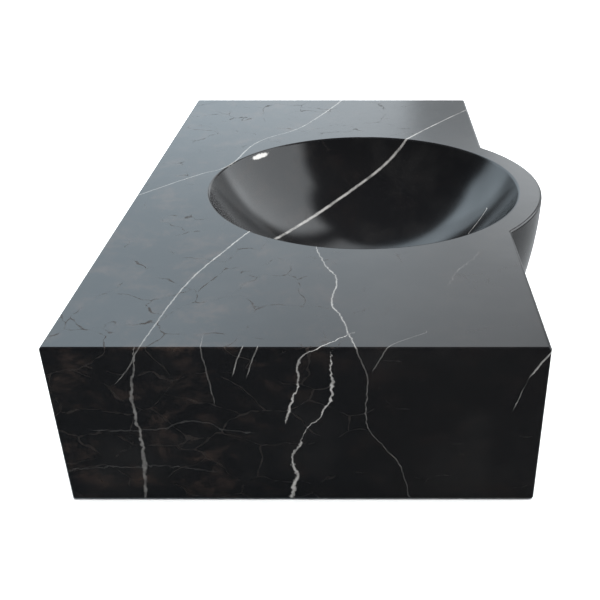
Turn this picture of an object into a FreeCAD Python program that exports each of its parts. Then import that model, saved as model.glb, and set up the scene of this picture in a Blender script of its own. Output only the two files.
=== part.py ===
import FreeCAD, Part
import math
import os
import re
import Sketcher

# Wall-hung marble washbasin: one carved stone with a round bowl that bellies out past the front edge,
# a press-press waste in the bowl and two steel brackets hidden in the hollow underside.
# Millimetres. X runs along the wall, Y from the user to the wall, Z up. The origin is at the middle of
# the stone's box, on its base.

SIZES = {
    # The stone
    "block_length": 700,
    "block_height": 150,
    "bowl_setback": 245,
    "belly_overhang": 50,
    "bowl_radius": 170,
    "bowl_depth": 100,
    "rim_width": 25,
    "belly_inset": 28,
    "belly_wall": 24,
    "wall_thickness": 30,
    "deck_thickness": 30,
    "shell_thickness": 25,
    "drain_land": 20,
    "arris": 2.5,
    "rim_arris": 3,
    "belly_root": 8,
    # The waste
    "drain_clearance": 2.045,
    "seat_depth": 3,
    "thread_radius": 20.955,
    "thread_clearance": 0.05,
    "tube_wall": 2.955,
    "trap_thread": 13.5,
    "runout_width": 1.7,
    "runout_depth": 1,
    "flange_lip": 10.545,
    "seat_clearance": 1.5,
    "flange_thickness": 2.5,
    "throat_round": 2,
    "flange_round": 0.8,
    "seal_thickness": 1,
    "washer_lip": 9.045,
    "washer_clearance": 0.25,
    "cone_thickness": 5,
    "cone_taper": 3,
    "slip_thickness": 1.5,
    "back_nut_wall": 4.045,
    "back_nut_height": 8,
    "bridge_height": 6,
    "bridge_thickness": 4,
    "spoke_width": 3,
    # The plug and its latch
    "cap_overhang": 1.5,
    "cap_edge": 1.8,
    "cap_rise": 2.7,
    "cap_boss_radius": 5,
    "cap_boss_length": 3,
    "plug_seal_setback": 2,
    "plug_seal_width": 5,
    "plug_seal_height": 3.5,
    "stem_radius": 2.6,
    "stem_grip": 2,
    "running_clearance": 0.1,
    "housing_radius": 8,
    "housing_wall": 2,
    "housing_floor": 2,
    "housing_length": 34,
    "foot_radius": 4,
    "foot_length": 9,
    "cartridge_cap_thickness": 2,
    "cartridge_spigot": 2,
    "small_nut_flats": 13,
    "small_nut_height": 4,
    "rotor_height": 4,
    "rotor_radius": 5.2,
    "rotor_rib": 0.5,
    "rotor_rib_width": 1.2,
    "collar_radius": 5,
    "collar_height": 2,
    "spring_length": 13.6,
    "spring_gap": 0.2,
    "spring_radius": 4.4,
    "spring_wire": 0.9,
    "spring_turns": 8,
    # The brackets and what holds the stone on them
    "bracket_spacing": 500,
    "plate_size": 84,
    "plate_thickness": 6,
    "plate_round": 8,
    "plate_hole_radius": 5.5,
    "plate_hole_pitch": 56,
    "notch_clearance": 3,
    "notch_headroom": 2,
    "arm_width": 30,
    "arm_height": 50,
    "arm_wall": 3,
    "arm_front_gap": 60,
    "gusset_thickness": 5,
    "gusset_reach": 60,
    "gusset_gap": 2,
    "pad_thickness": 4,
    "pad_length": 40,
    "rear_pad_setback": 70,
    "front_pad_inset": 30,
    "bolt_radius": 3.9,
    "bolt_hole_radius": 4.5,
    "bolt_head_flats": 13,
    "bolt_head_height": 5.3,
    "bolt_grip": 14,
    "bolt_point": 0.8,
    "insert_radius": 6,
    "insert_length": 18,
    "insert_bond": 0.05,
    "insert_bore": 4,
    "small_washer_radius": 8,
    "small_washer_bore": 4.2,
    "small_washer_thickness": 1.6,
    "end_cap_thickness": 3,
    "end_cap_plug": 10,
    "end_cap_clearance": 0.2,
}

# Places and sizes that follow from the sheet, as formulas.
BELLY_RADIUS = "(bowl_radius + rim_width)"
WALL_Y = "((bowl_setback + bowl_radius + rim_width) / 2)"
AXIS_Y = f"({WALL_Y} - bowl_setback)"
BELLY_FOOT = f"({BELLY_RADIUS} - belly_inset)"
BELLY_ARC = "((block_height^2 + belly_inset^2) / (2 * belly_inset))"
CEILING = "(block_height - deck_thickness)"
BOWL_BOTTOM = "(block_height - bowl_depth)"
BOWL_ARC = "((bowl_radius^2 + bowl_depth^2) / (2 * bowl_depth))"
BOWL_CENTRE = f"({BOWL_BOTTOM} + {BOWL_ARC})"
SHELL_ARC = f"({BOWL_ARC} + shell_thickness)"
LAND = f"({BOWL_BOTTOM} - drain_land)"
LAND_RADIUS = f"sqrt({SHELL_ARC}^2 - ({BOWL_CENTRE} - {LAND})^2)"
SHELL_TOP_RADIUS = f"sqrt({SHELL_ARC}^2 - ({BOWL_CENTRE} - {CEILING})^2)"
DRAIN_RADIUS = "(thread_radius + drain_clearance)"
FLANGE_RADIUS = "(thread_radius + flange_lip)"
SEAT_RADIUS = f"({FLANGE_RADIUS} + seat_clearance)"
SEAT = f"({BOWL_BOTTOM} - seat_depth)"
FLANGE = f"({SEAT} + seal_thickness)"
FLANGE_TOP = f"({FLANGE} + flange_thickness)"
TUBE_BORE = "(thread_radius - tube_wall)"
NUT_BORE = "(thread_radius + thread_clearance)"
THROAT = f"({TUBE_BORE} + throat_round)"
WASHER_RADIUS = "(thread_radius + washer_lip)"
SLIP_RADIUS = f"({WASHER_RADIUS} - cone_taper)"
WASHER_BORE = "(thread_radius + washer_clearance)"
SLIP = f"({LAND} - cone_thickness)"
BACK_NUT = f"({SLIP} - slip_thickness)"
TAIL = f"({BACK_NUT} - back_nut_height - trap_thread)"
BRIDGE = f"({TAIL} + bridge_height)"
HOUSING = f"({BRIDGE} + bridge_thickness)"
HOUSING_TOP = f"({HOUSING} + housing_length)"
HOUSING_BORE = "(housing_radius - housing_wall)"
SPRING = f"({HOUSING} + housing_floor + spring_gap)"
ROTOR = f"({SPRING} + spring_length + spring_gap)"
COLLAR = f"({ROTOR} + rotor_height)"
CAP = f"({FLANGE_TOP} + plug_seal_height)"
CAP_RADIUS = f"({FLANGE_RADIUS} + cap_overhang)"
CAP_ARC = f"(({CAP_RADIUS}^2 + cap_rise^2) / (2 * cap_rise))"
PLUG_SEAL_INNER = f"({THROAT} + plug_seal_setback)"
STEM_BORE = "(stem_radius + running_clearance)"
FOOT_BORE = "(foot_radius + thread_clearance)"
ARM_TOP = f"({CEILING} - pad_thickness)"
ARM_BOTTOM = f"({ARM_TOP} - arm_height)"
PLATE_BOTTOM = f"({ARM_TOP} - plate_size)"
PLATE_MIDDLE = f"({ARM_TOP} - plate_size / 2)"
BACK = "bowl_setback"
FRONT = f"(belly_overhang - {BELLY_RADIUS})"
ARM_REACH = f"({BACK} - {FRONT} - wall_thickness - arm_front_gap)"
FRONT_PAD = f"({ARM_REACH} - front_pad_inset)"
BOLT_SETBACK = f"((rear_pad_setback + {FRONT_PAD}) / 2)"

doc = FreeCAD.newDocument("marble_basin")
sheet = doc.addObject("Spreadsheet::Sheet", "sizes")
for row, (name, number) in enumerate(SIZES.items(), start=1):
    sheet.set(f"A{row}", name)
    sheet.set(f"B{row}", str(number))
    sheet.setAlias(f"B{row}", name)
doc.recompute()


def bound(formula):
    """The formula with each size's name pointed at the sheet."""
    return re.sub(r"[a-z_]+", lambda word: "sizes." + word[0] if word[0] in SIZES else word[0], formula)


def value(formula):
    """What the formula gives with the sheet's present numbers."""
    return float(sheet.evalExpression(bound(formula)))


def new_body(name, x="0", y=AXIS_Y):
    """An empty body that stands at x, y on the base plane; most stand on the bowl's axis."""
    body = doc.addObject("PartDesign::Body", name)
    body.Label = name
    body.setExpression("Placement.Base.x", bound(x))
    body.setExpression("Placement.Base.y", bound(y))
    return body


def new_sketch(body, name, plane, lift="0"):
    """A sketch on one of the body's own planes, moved along that plane's normal by lift."""
    sketch = body.newObject("Sketcher::SketchObject", f"{body.Name}_{name}")
    base = next(feature for feature in body.Origin.OriginFeatures if feature.Role == plane)
    sketch.AttachmentSupport = [(base, "")]
    sketch.MapMode = "FlatFace"
    sketch.setExpression("AttachmentOffset.Base.z", bound(lift))
    return sketch


def bind(sketch, constraint, formula):
    """Adds a size to the sketch and ties it to the sheet."""
    index = sketch.addConstraint(constraint)
    sketch.setExpression(f"Constraints[{index}]", bound(formula))


def add_outline(sketch, corners):
    """A closed outline through the corners, each (x, y) or (x, y, radius) as formulas.

    A radius makes the edge that leaves the corner an arc that turns left, or right with a minus sign.
    """
    points = [FreeCAD.Vector(value(corner[0]), value(corner[1]), 0) for corner in corners]
    first = sketch.GeometryCount
    for index, corner in enumerate(corners):
        start = points[index]
        end = points[(index + 1) % len(points)]
        if len(corner) == 2:
            sketch.addGeometry(Part.LineSegment(start, end), False)
            ends = (1, 2)
        else:
            radius = value(corner[2])
            chord = end - start
            reach = math.sqrt(radius**2 - chord.Length**2 / 4)
            left = FreeCAD.Vector(-chord.y, chord.x, 0).normalize()
            centre = (start + end) / 2 + left * math.copysign(reach, radius)
            circle = Part.Circle(centre, FreeCAD.Vector(0, 0, 1), abs(radius))
            ends = (1, 2) if radius > 0 else (2, 1)
            low, high = (start, end) if radius > 0 else (end, start)
            arc = Part.ArcOfCircle(circle, circle.parameter(low), circle.parameter(high))
            edge = sketch.addGeometry(arc, False)
            size = corner[2].lstrip("-")
            bind(sketch, Sketcher.Constraint("Radius", edge, abs(radius)), size)
        edge = sketch.GeometryCount - 1
        x, y = corner[:2]
        bind(sketch, Sketcher.Constraint("DistanceX", -1, 1, edge, ends[0], start.x), x)
        bind(sketch, Sketcher.Constraint("DistanceY", -1, 1, edge, ends[0], start.y), y)
        if index == 0:
            first_point = ends[0]
        else:
            sketch.addConstraint(Sketcher.Constraint("Coincident", edge - 1, last_point, edge, ends[0]))
        last_point = ends[1]
    sketch.addConstraint(Sketcher.Constraint("Coincident", edge, last_point, first, first_point))


def add_rectangle(sketch, x_low, x_high, y_low, y_high):
    """A rectangle between four formulas."""
    add_outline(sketch, [(x_low, y_low), (x_high, y_low), (x_high, y_high), (x_low, y_high)])


def add_circle(sketch, radius, x="0", y="0"):
    """A circle of the given radius about x, y."""
    centre = FreeCAD.Vector(value(x), value(y), 0)
    up = FreeCAD.Vector(0, 0, 1)
    edge = sketch.addGeometry(Part.Circle(centre, up, value(radius)), False)
    bind(sketch, Sketcher.Constraint("Radius", edge, value(radius)), radius)
    bind(sketch, Sketcher.Constraint("DistanceX", -1, 1, edge, 3, centre.x), x)
    bind(sketch, Sketcher.Constraint("DistanceY", -1, 1, edge, 3, centre.y), y)


def add_hexagon(sketch, flats):
    """A hexagon about the origin, flats apart across its faces."""
    corner = f"{flats} / sqrt(3)"
    turns = range(0, 360, 60)
    add_outline(sketch, [(f"{corner} * cos({degrees})", f"{corner} * sin({degrees})") for degrees in turns])


def extrude(kind, sketch, length, reverse=False):
    """Pads or pockets the sketch's profile by length, and returns the feature."""
    body = sketch.getParentGeoFeatureGroup()
    feature = body.newObject(f"PartDesign::{kind}", f"{sketch.Name}_{kind.lower()}")
    feature.Profile = sketch
    feature.setExpression("Length", bound(length))
    feature.Reversed = reverse
    finish_feature(body, feature)
    return feature


def turn(kind, sketch):
    """Revolves or grooves the sketch's profile once around its own upright axis."""
    body = sketch.getParentGeoFeatureGroup()
    feature = body.newObject(f"PartDesign::{kind}", f"{sketch.Name}_{kind.lower()}")
    feature.Profile = sketch
    feature.ReferenceAxis = (sketch, ["V_Axis"])
    feature.Angle = 360
    finish_feature(body, feature)
    return feature


def finish_feature(body, feature):
    """Recomputes, and stops the build where a cut removed nothing or a pad added nothing."""
    before = feature.BaseFeature.Shape.Volume if feature.BaseFeature else 0
    doc.recompute()
    change = feature.Shape.Volume - before
    cuts = feature.TypeId in ("PartDesign::Pocket", "PartDesign::Groove")
    if change == 0 or cuts != (change < 0):
        raise RuntimeError(f"{feature.Name} changed nothing")


def round_edges(body, name, radius, chosen):
    """Fillets the edges of the body's present shape that the test picks."""
    base = body.Tip
    picked = [f"Edge{number}" for number, edge in enumerate(base.Shape.Edges, start=1) if chosen(edge)]
    fillet = body.newObject("PartDesign::Fillet", f"{body.Name}_{name}")
    fillet.Base = (base, picked)
    fillet.setExpression("Radius", bound(radius))
    doc.recompute()


def repeat(body, feature, count):
    """Copies a feature evenly around the upright axis."""
    pattern = body.newObject("PartDesign::PolarPattern", f"{feature.Name}_pattern")
    pattern.Originals = [feature]
    pattern.Axis = (feature.Profile[0], ["N_Axis"])
    pattern.Angle = 360
    pattern.Occurrences = count
    body.Tip = pattern
    doc.recompute()


def turned_body(name, corners):
    """A body that is one profile (radius, height) turned around the bowl's axis."""
    body = new_body(name)
    profile = new_sketch(body, "profile", "XZ_Plane")
    add_outline(profile, corners)
    turn("Revolution", profile)
    return body


def ring_corners(inner, outer, low, high):
    """The profile of a flat ring."""
    return [(inner, low), (outer, low), (outer, high), (inner, high)]


def group(name, bodies):
    """Several like solids kept as one node."""
    compound = doc.addObject("Part::Compound", name)
    compound.Label = name
    compound.Links = bodies
    doc.recompute()
    return compound


def lies_at(edge, axis, place):
    """Whether the whole edge lies where the axis has this value."""
    box = edge.BoundBox
    low, high = {"x": (box.XMin, box.XMax), "y": (box.YMin, box.YMax), "z": (box.ZMin, box.ZMax)}[axis]
    return abs(low - place) < 0.01 and abs(high - place) < 0.01


# ---- The stone ------------------------------------------------------------------------------------
# The body stands on the bowl's axis, so the bowl, the belly and the drain turn around its own Z.
basin = new_body("basin_body")

block = new_sketch(basin, "block", "XY_Plane")
add_rectangle(block, "-block_length / 2", "block_length / 2", FRONT, BACK)
extrude("Pad", block, "block_height")

# The belly's side is upright at the deck and curves in to a smaller foot.
belly = new_sketch(basin, "belly", "XZ_Plane")
belly_corners = [
    ("0", "0"),
    (BELLY_FOOT, "0", BELLY_ARC),
    (BELLY_RADIUS, "block_height"),
    ("0", "block_height"),
]
add_outline(belly, belly_corners)
turn("Revolution", belly)

hollow = new_sketch(basin, "hollow", "XY_Plane")
hollow_side = "(block_length / 2 - wall_thickness)"
hollow_front = f"{FRONT} + wall_thickness"
hollow_back = f"{BACK} - wall_thickness"
add_rectangle(hollow, f"-{hollow_side}", hollow_side, hollow_front, hollow_back)
extrude("Pocket", hollow, CEILING, reverse=True)

belly_hollow = new_sketch(basin, "belly_hollow", "XY_Plane")
add_circle(belly_hollow, f"{BELLY_FOOT} - belly_wall")
extrude("Pocket", belly_hollow, CEILING, reverse=True)

# The bowl's shell hangs in the hollow and ends in a flat land under the drain.
shell = new_sketch(basin, "shell", "XZ_Plane")
shell_top = f"{CEILING} + deck_thickness / 2"
shell_corners = [
    ("0", LAND),
    (LAND_RADIUS, LAND, SHELL_ARC),
    (SHELL_TOP_RADIUS, CEILING),
    (SHELL_TOP_RADIUS, shell_top),
    ("0", shell_top),
]
add_outline(shell, shell_corners)
turn("Revolution", shell)

bowl = new_sketch(basin, "bowl", "XZ_Plane")
bowl_corners = [("0", BOWL_BOTTOM, BOWL_ARC), ("bowl_radius", "block_height"), ("0", "block_height")]
add_outline(bowl, bowl_corners)
turn("Groove", bowl)

drain = new_sketch(basin, "drain", "XZ_Plane")
drain_corners = [
    ("0", LAND),
    (DRAIN_RADIUS, LAND),
    (DRAIN_RADIUS, SEAT),
    (SEAT_RADIUS, SEAT),
    (SEAT_RADIUS, f"{BOWL_BOTTOM} + {SEAT_RADIUS}"),
    ("0", f"{BOWL_BOTTOM} + {SEAT_RADIUS}"),
]
add_outline(drain, drain_corners)
turn("Groove", drain)

# Two notches in the back wall take the brackets' wall plates, and stay open below for the pipes.
notches = new_sketch(basin, "notches", "XY_Plane")
notch_half = "(plate_size / 2 + notch_clearance)"
for side in ("-", ""):
    middle = f"{side}bracket_spacing / 2"
    notch_low = f"{BACK} - 2 * wall_thickness"
    add_rectangle(notches, f"{middle} - {notch_half}", f"{middle} + {notch_half}", notch_low, BACK)
extrude("Pocket", notches, f"{ARM_TOP} + notch_headroom", reverse=True)

insert_holes = new_sketch(basin, "insert_holes", "XY_Plane", CEILING)
insert_hole_y = f"{BACK} - {BOLT_SETBACK}"
for side in ("-", ""):
    insert_hole_x = f"{side}bracket_spacing / 2"
    add_circle(insert_holes, "insert_radius + insert_bond", insert_hole_x, insert_hole_y)
extrude("Pocket", insert_holes, "insert_length + insert_bond", reverse=True)

deck_level = value("block_height")
front_level = value(FRONT)
end_level = value("block_length / 2")
rim_reach = value("bowl_radius")


def is_belly_root(edge):
    """The two curves where the belly leaves the block's front."""
    return lies_at(edge, "y", front_level) and edge.Curve.TypeId != "Part::GeomLine"


def is_bowl_rim(edge):
    """The circle where the bowl meets the deck."""
    return lies_at(edge, "z", deck_level) and abs(edge.BoundBox.XMax - rim_reach) < 0.01


def is_outer_edge(edge):
    """The deck's outline, the base's front and ends, and the four upright corners."""
    box = edge.BoundBox
    if lies_at(edge, "z", deck_level):
        return not edge.CenterOfMass.isEqual(FreeCAD.Vector(0, 0, deck_level), 1)
    on_end = lies_at(edge, "x", end_level) or lies_at(edge, "x", -end_level)
    on_front = box.YMax < front_level + 0.01
    return on_end and box.ZLength > 1 or lies_at(edge, "z", 0) and (on_end or on_front)


round_edges(basin, "root", "belly_root", is_belly_root)
round_edges(basin, "rim", "rim_arris", is_bowl_rim)
round_edges(basin, "arris", "arris", is_outer_edge)

# ---- The waste ------------------------------------------------------------------------------------
# A flanged tube through the stone; a bridge across its tail carries the plug's latch. A runout groove
# parts the thread that takes the trap from the thread that takes the back nut.
waste = new_body("waste_body")
tube = new_sketch(waste, "tube", "XZ_Plane")
runout_top = f"({TAIL} + trap_thread)"
runout_radius = "thread_radius - runout_depth"
tube_corners = [
    (TUBE_BORE, TAIL),
    ("thread_radius", TAIL),
    ("thread_radius", f"{runout_top} - runout_width"),
    (runout_radius, f"{runout_top} - runout_width"),
    (runout_radius, runout_top),
    ("thread_radius", runout_top),
    ("thread_radius", FLANGE),
    (FLANGE_RADIUS, FLANGE),
    (FLANGE_RADIUS, f"{FLANGE_TOP} - flange_round", "flange_round"),
    (f"{FLANGE_RADIUS} - flange_round", FLANGE_TOP),
    (THROAT, FLANGE_TOP, "throat_round"),
    (TUBE_BORE, f"{FLANGE_TOP} - throat_round"),
]
add_outline(tube, tube_corners)
turn("Revolution", tube)

spoke = new_sketch(waste, "spoke", "XY_Plane", BRIDGE)
spoke_end = f"{TUBE_BORE} + tube_wall / 2"
add_rectangle(spoke, "foot_radius", spoke_end, "-spoke_width / 2", "spoke_width / 2")
repeat(waste, extrude("Pad", spoke, "bridge_thickness"), 4)

boss = new_sketch(waste, "boss", "XY_Plane", BRIDGE)
add_circle(boss, "housing_radius")
extrude("Pad", boss, "bridge_thickness")

boss_hole = new_sketch(waste, "boss_hole", "XY_Plane", BRIDGE)
add_circle(boss_hole, FOOT_BORE)
extrude("Pocket", boss_hole, "bridge_thickness", reverse=True)

# The stack that clamps the stone: ring, stone, cone washer, slip washer, nut.
flange_seal = turned_body("flange_seal", ring_corners(DRAIN_RADIUS, WASHER_RADIUS, SEAT, FLANGE))
cone_corners = [
    (WASHER_BORE, SLIP),
    (SLIP_RADIUS, SLIP),
    (WASHER_RADIUS, LAND),
    (WASHER_BORE, LAND),
]
cone_washer = turned_body("cone_washer", cone_corners)
slip_washer = turned_body("slip_washer", ring_corners(WASHER_BORE, SLIP_RADIUS, BACK_NUT, SLIP))

back_nut = new_body("back_nut")
nut_low = f"{BACK_NUT} - back_nut_height"
nut_outline = new_sketch(back_nut, "outline", "XY_Plane", nut_low)
add_hexagon(nut_outline, "2 * (thread_radius + back_nut_wall)")
add_circle(nut_outline, NUT_BORE)
extrude("Pad", nut_outline, "back_nut_height")

# ---- The plug and its latch -----------------------------------------------------------------------
# The cap's underside has a boss that the stem's end sits in.
cap_bore = "(stem_radius + thread_clearance)"
cap_corners = [
    (cap_bore, f"{CAP} - cap_boss_length"),
    ("cap_boss_radius", f"{CAP} - cap_boss_length"),
    ("cap_boss_radius", CAP),
    (CAP_RADIUS, CAP),
    (CAP_RADIUS, f"{CAP} + cap_edge", CAP_ARC),
    ("0", f"{CAP} + cap_edge + cap_rise"),
    ("0", f"{CAP} + stem_grip"),
    (cap_bore, f"{CAP} + stem_grip"),
]
plug_cap = turned_body("plug_cap", cap_corners)
seal_ring = ring_corners(PLUG_SEAL_INNER, f"{PLUG_SEAL_INNER} + plug_seal_width", FLANGE_TOP, CAP)
plug_seal = turned_body("plug_seal", seal_ring)

# The stem's collar pushes the rotor down; the rod's end runs on through it.
stem_corners = [
    ("0", f"{ROTOR} - spring_gap"),
    ("stem_radius", f"{ROTOR} - spring_gap"),
    ("stem_radius", COLLAR),
    ("collar_radius", COLLAR),
    ("collar_radius", f"{COLLAR} + collar_height"),
    ("stem_radius", f"{COLLAR} + collar_height"),
    ("stem_radius", f"{CAP} + stem_grip"),
    ("0", f"{CAP} + stem_grip"),
]
plug_stem = turned_body("plug_stem", stem_corners)

latch_rotor = turned_body("latch_rotor", ring_corners(STEM_BORE, "rotor_radius", ROTOR, COLLAR))
rib = new_sketch(latch_rotor, "rib", "XY_Plane", ROTOR)
rib_start = "rotor_radius - rotor_rib"
rib_end = "rotor_radius + rotor_rib"
add_rectangle(rib, rib_start, rib_end, "-rotor_rib_width / 2", "rotor_rib_width / 2")
repeat(latch_rotor, extrude("Pad", rib, "rotor_height"), 8)

cartridge_spring = new_body("cartridge_spring")
wire = new_sketch(cartridge_spring, "wire", "XZ_Plane")
add_circle(wire, "spring_wire / 2", "spring_radius", f"{SPRING} + spring_wire / 2")
coil = cartridge_spring.newObject("PartDesign::AdditiveHelix", "coil")
coil.Profile = wire
coil.ReferenceAxis = (wire, ["V_Axis"])
coil.Mode = "height-turns-angle"
coil.setExpression("Height", bound("spring_length - spring_wire"))
coil.setExpression("Turns", bound("spring_turns"))
doc.recompute()

# The housing stands on the bridge; its threaded foot goes down through the boss.
housing_corners = [
    ("0", f"{HOUSING} - foot_length"),
    ("foot_radius", f"{HOUSING} - foot_length"),
    ("foot_radius", HOUSING),
    ("housing_radius", HOUSING),
    ("housing_radius", HOUSING_TOP),
    (HOUSING_BORE, HOUSING_TOP),
    (HOUSING_BORE, f"{HOUSING} + housing_floor"),
    ("0", f"{HOUSING} + housing_floor"),
]
cartridge_body = turned_body("cartridge_body", housing_corners)
spigot_radius = f"{HOUSING_BORE} - running_clearance"
spigot_low = f"{HOUSING_TOP} - cartridge_spigot"
cartridge_cap_top = f"{HOUSING_TOP} + cartridge_cap_thickness"
bush_corners = [
    (STEM_BORE, spigot_low),
    (spigot_radius, spigot_low),
    (spigot_radius, HOUSING_TOP),
    ("housing_radius", HOUSING_TOP),
    ("housing_radius", cartridge_cap_top),
    (STEM_BORE, cartridge_cap_top),
]
cartridge_cap = turned_body("cartridge_cap", bush_corners)

cartridge_nut = new_body("cartridge_nut")
small_nut = new_sketch(cartridge_nut, "outline", "XY_Plane", f"{BRIDGE} - small_nut_height")
add_hexagon(small_nut, "small_nut_flats")
add_circle(small_nut, FOOT_BORE)
extrude("Pad", small_nut, "small_nut_height")


# ---- The brackets ---------------------------------------------------------------------------------
def bracket(name, x):
    """One welded bracket: wall plate, hollow arm with a bolt hole through it, and a gusset below."""
    body = new_body(name, x, WALL_Y)

    def is_plate_corner(edge):
        """The plate's four corners, which run through its thickness."""
        box = edge.BoundBox
        return box.YLength > 1 and box.XLength < 0.01 and abs(abs(box.XMax) - value("plate_size / 2")) < 0.01

    plate = new_sketch(body, "plate", "XZ_Plane")
    add_rectangle(plate, "-plate_size / 2", "plate_size / 2", PLATE_BOTTOM, ARM_TOP)
    for across in ("-", ""):
        for up in ("-", "+"):
            hole_z = f"{PLATE_MIDDLE} {up} plate_hole_pitch / 2"
            add_circle(plate, "plate_hole_radius", f"{across}plate_hole_pitch / 2", hole_z)
    extrude("Pad", plate, "plate_thickness")
    round_edges(body, "plate_corners", "plate_round", is_plate_corner)
    arm = new_sketch(body, "arm", "XZ_Plane", "plate_thickness")
    add_rectangle(arm, "-arm_width / 2", "arm_width / 2", ARM_BOTTOM, ARM_TOP)
    bore_half = "(arm_width / 2 - arm_wall)"
    add_rectangle(arm, f"-{bore_half}", bore_half, f"{ARM_BOTTOM} + arm_wall", f"{ARM_TOP} - arm_wall")
    extrude("Pad", arm, f"{ARM_REACH} - plate_thickness")
    gusset = new_sketch(body, "gusset", "YZ_Plane", "-gusset_thickness / 2")
    gusset_corners = [
        ("-plate_thickness", f"{PLATE_BOTTOM} + gusset_gap"),
        ("-plate_thickness", ARM_BOTTOM),
        ("-gusset_reach", ARM_BOTTOM),
    ]
    add_outline(gusset, gusset_corners)
    extrude("Pad", gusset, "gusset_thickness")
    bolt_hole = new_sketch(body, "bolt_hole", "XY_Plane", ARM_BOTTOM)
    add_circle(bolt_hole, "bolt_hole_radius", "0", f"-{BOLT_SETBACK}")
    extrude("Pocket", bolt_hole, "arm_height", reverse=True)
    return body


def pad(name, x, y):
    """One rubber pad between an arm and the stone."""
    body = new_body(name, x, y)
    outline = new_sketch(body, "outline", "XY_Plane", ARM_TOP)
    add_rectangle(outline, "-arm_width / 2", "arm_width / 2", "-pad_length / 2", "pad_length / 2")
    extrude("Pad", outline, "pad_thickness")
    return body


def insert(name, x, y):
    """One threaded insert bonded into the underside of the deck."""
    body = new_body(name, x, y)
    outline = new_sketch(body, "outline", "XY_Plane", CEILING)
    add_circle(outline, "insert_radius")
    add_circle(outline, "insert_bore")
    extrude("Pad", outline, "insert_length")
    return body


def washer(name, x, y):
    """One washer under the arm."""
    body = new_body(name, x, y)
    outline = new_sketch(body, "outline", "XY_Plane", f"{ARM_BOTTOM} - small_washer_thickness")
    add_circle(outline, "small_washer_radius")
    add_circle(outline, "small_washer_bore")
    extrude("Pad", outline, "small_washer_thickness")
    return body


def bolt(name, x, y):
    """One hexagon bolt, up through washer, arm and insert."""
    body = new_body(name, x, y)
    under_head = f"({ARM_BOTTOM} - small_washer_thickness)"
    head = new_sketch(body, "head", "XY_Plane", f"{under_head} - bolt_head_height")
    add_hexagon(head, "bolt_head_flats")
    extrude("Pad", head, "bolt_head_height")
    shank = new_sketch(body, "shank", "XZ_Plane")
    tip = f"({CEILING} + bolt_grip)"
    shank_corners = [
        ("0", under_head),
        ("bolt_radius", under_head),
        ("bolt_radius", f"{tip} - bolt_point"),
        ("bolt_radius - bolt_point", tip),
        ("0", tip),
    ]
    add_outline(shank, shank_corners)
    turn("Revolution", shank)
    return body


def end_cap(name, x):
    """One plastic cap that plugs an arm's open end."""
    body = new_body(name, x, f"{WALL_Y} - {ARM_REACH}")
    face = new_sketch(body, "face", "XZ_Plane")
    add_rectangle(face, "-arm_width / 2", "arm_width / 2", ARM_BOTTOM, ARM_TOP)
    extrude("Pad", face, "end_cap_thickness")
    spigot = new_sketch(body, "spigot", "XZ_Plane")
    inset = "(arm_wall + end_cap_clearance)"
    half = f"(arm_width / 2 - {inset})"
    add_rectangle(spigot, f"-{half}", half, f"{ARM_BOTTOM} + {inset}", f"{ARM_TOP} - {inset}")
    extrude("Pad", spigot, "end_cap_plug", reverse=True)
    return body


SIDES = {"left": "-bracket_spacing / 2", "right": "bracket_spacing / 2"}
brackets = [bracket(f"{side}_bracket", x) for side, x in SIDES.items()]
bolt_y = f"{WALL_Y} - {BOLT_SETBACK}"
rear_pad_y = f"{WALL_Y} - rear_pad_setback"
front_pad_y = f"{WALL_Y} - {FRONT_PAD}"
rear_pads = [pad(f"{side}_rear_pad", x, rear_pad_y) for side, x in SIDES.items()]
front_pads = [pad(f"{side}_front_pad", x, front_pad_y) for side, x in SIDES.items()]
groups = [
    group("bracket_pads", rear_pads + front_pads),
    group("stone_inserts", [insert(f"{side}_insert", x, bolt_y) for side, x in SIDES.items()]),
    group("retaining_washers", [washer(f"{side}_washer", x, bolt_y) for side, x in SIDES.items()]),
    group("retaining_bolts", [bolt(f"{side}_bolt", x, bolt_y) for side, x in SIDES.items()]),
    group("arm_end_caps", [end_cap(f"{side}_end_cap", x) for side, x in SIDES.items()]),
]

# ---- Checks and files -----------------------------------------------------------------------------
waste_parts = [waste, flange_seal, cone_washer, slip_washer, back_nut]
plug_parts = [plug_cap, plug_seal, plug_stem, latch_rotor]
latch_parts = [cartridge_spring, cartridge_body, cartridge_cap, cartridge_nut]
nodes = [basin, *waste_parts, *plug_parts, *latch_parts, *brackets, *groups]
for item in doc.Objects:
    if {"Invalid", "Error"} & set(item.State):
        raise RuntimeError(f"{item.Label} failed: {item.State}")
os.makedirs("parts", exist_ok=True)
for node in nodes:
    if node.Shape.isNull() or not node.Shape.isValid():
        raise RuntimeError(f"{node.Label} has no valid shape")
    node.Shape.exportStep(f"parts/{node.Label}.step")
    print(node.Label, len(node.Shape.Solids), round(node.Shape.Volume))
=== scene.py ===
import math

import bmesh
import bpy
import numpy as np
from mathutils import Matrix, Vector


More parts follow.
